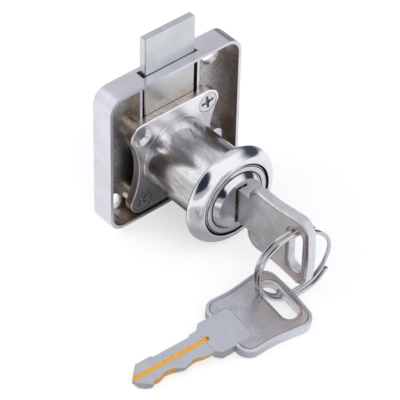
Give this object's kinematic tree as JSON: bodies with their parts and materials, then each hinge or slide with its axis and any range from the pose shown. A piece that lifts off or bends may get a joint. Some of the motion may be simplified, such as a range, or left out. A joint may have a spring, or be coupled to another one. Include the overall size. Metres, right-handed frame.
{
  "type": "drawer lock",
  "caption": "Cylinder drawer lock with a tray case, sliding flat bolt, polished trim ring and flat keys on a split ring.",
  "frame": {"origin": "on the cylinder's axis, in the plane of the case's rim, where it meets the back of the drawer front", "axes": "-Y along the cylinder to the key side, +Y to the back of the case, +Z the way the bolt comes out, +X to the right seen from the key side"},
  "size_m": [0.0678, 0.0614, 0.0507],
  "materials": {
    "case_zinc": "satin plated die casting",
    "barrel_zinc": "bare satin die casting",
    "trim_chrome": "polished",
    "plug_nickel": "polished",
    "bolt_nickel": "brushed",
    "screw_steel": "satin",
    "key_nickel": "satin nickel plate",
    "ring_steel": "bright wire",
    "wafer_brass": "stamped",
    "spring_steel": "drawn wire"
  },
  "bodies": {
    "housing": {"case": "case_zinc", "barrel_housing": "barrel_zinc", "flange_screw_upper": "screw_steel", "flange_screw_lower": "screw_steel", "trim_ring": "trim_chrome"},
    "bolt_body": {"bolt": "bolt_nickel"},
    "plug_body": {"plug": "plug_nickel", "retaining_wafer": "wafer_brass", "retaining_spring": "spring_steel", "wafer_spring_1": "spring_steel", "wafer_spring_2": "spring_steel", "wafer_spring_3": "spring_steel", "wafer_spring_4": "spring_steel", "wafer_spring_5": "spring_steel", "wafer_spring_6": "spring_steel"},
    "wafer_body_1": {"wafer_1": "wafer_brass"},
    "wafer_body_2": {"wafer_2": "wafer_brass"},
    "wafer_body_3": {"wafer_3": "wafer_brass"},
    "wafer_body_4": {"wafer_4": "wafer_brass"},
    "wafer_body_5": {"wafer_5": "wafer_brass"},
    "wafer_body_6": {"wafer_6": "wafer_brass"},
    "key_body": {"key": "key_nickel"},
    "ring_body": {"split_ring": "ring_steel"},
    "spare_key_body": {"spare_key": "key_nickel"}
  },
  "joints": [
    {"name": "plug_turn", "type": "hinge", "parent": "housing", "child": "plug_body", "pos_m": [0, 0, 0], "axis": [0, -1, 0], "range_deg": [0, 180]},
    {"name": "bolt_slide", "type": "slide", "parent": "housing", "child": "bolt_body", "axis": [0, 0, 1], "range_m": [-0.01, 0]},
    {"name": "key_slide", "type": "slide", "parent": "plug_body", "child": "key_body", "axis": [0, -1, 0], "range_m": [0, 0.026]},
    {"name": "wafer_1_slide", "type": "slide", "parent": "plug_body", "child": "wafer_body_1", "axis": [0, 0, 1], "range_m": [0, 0.001], "deforming": ["wafer_spring_1"]},
    {"name": "wafer_2_slide", "type": "slide", "parent": "plug_body", "child": "wafer_body_2", "axis": [0, 0, -1], "range_m": [0, 0.001], "deforming": ["wafer_spring_2"]},
    {"name": "wafer_3_slide", "type": "slide", "parent": "plug_body", "child": "wafer_body_3", "axis": [0, 0, 1], "range_m": [0, 0.001], "deforming": ["wafer_spring_3"]},
    {"name": "wafer_4_slide", "type": "slide", "parent": "plug_body", "child": "wafer_body_4", "axis": [0, 0, -1], "range_m": [0, 0.001], "deforming": ["wafer_spring_4"]},
    {"name": "wafer_5_slide", "type": "slide", "parent": "plug_body", "child": "wafer_body_5", "axis": [0, 0, 1], "range_m": [0, 0.001], "deforming": ["wafer_spring_5"]},
    {"name": "wafer_6_slide", "type": "slide", "parent": "plug_body", "child": "wafer_body_6", "axis": [0, 0, -1], "range_m": [0, 0.001], "deforming": ["wafer_spring_6"]},
    {"name": "ring_swing", "type": "hinge", "parent": "key_body", "child": "ring_body", "pos_m": [0, -0.043, 0.00497], "axis": [-0.9833, 0.1822, 0], "range_deg": [-6, 40]},
    {"name": "spare_key_swing", "type": "hinge", "parent": "ring_body", "child": "spare_key_body", "pos_m": [-0.00087, -0.04286, -0.0047], "axis": [0.1822, 0.9833, 0], "range_deg": [-60, 90]}
  ],
  "couplings": [
    {"joint": "bolt_slide", "follows": "plug_turn", "m_per_rad": -0.0031831},
    {"joint": "wafer_1_slide", "follows": "key_slide", "ratio": 0.038462},
    {"joint": "wafer_2_slide", "follows": "key_slide", "ratio": 0.038462},
    {"joint": "wafer_3_slide", "follows": "key_slide", "ratio": 0.038462},
    {"joint": "wafer_4_slide", "follows": "key_slide", "ratio": 0.038462},
    {"joint": "wafer_5_slide", "follows": "key_slide", "ratio": 0.038462},
    {"joint": "wafer_6_slide", "follows": "key_slide", "ratio": 0.038462}
  ]
}
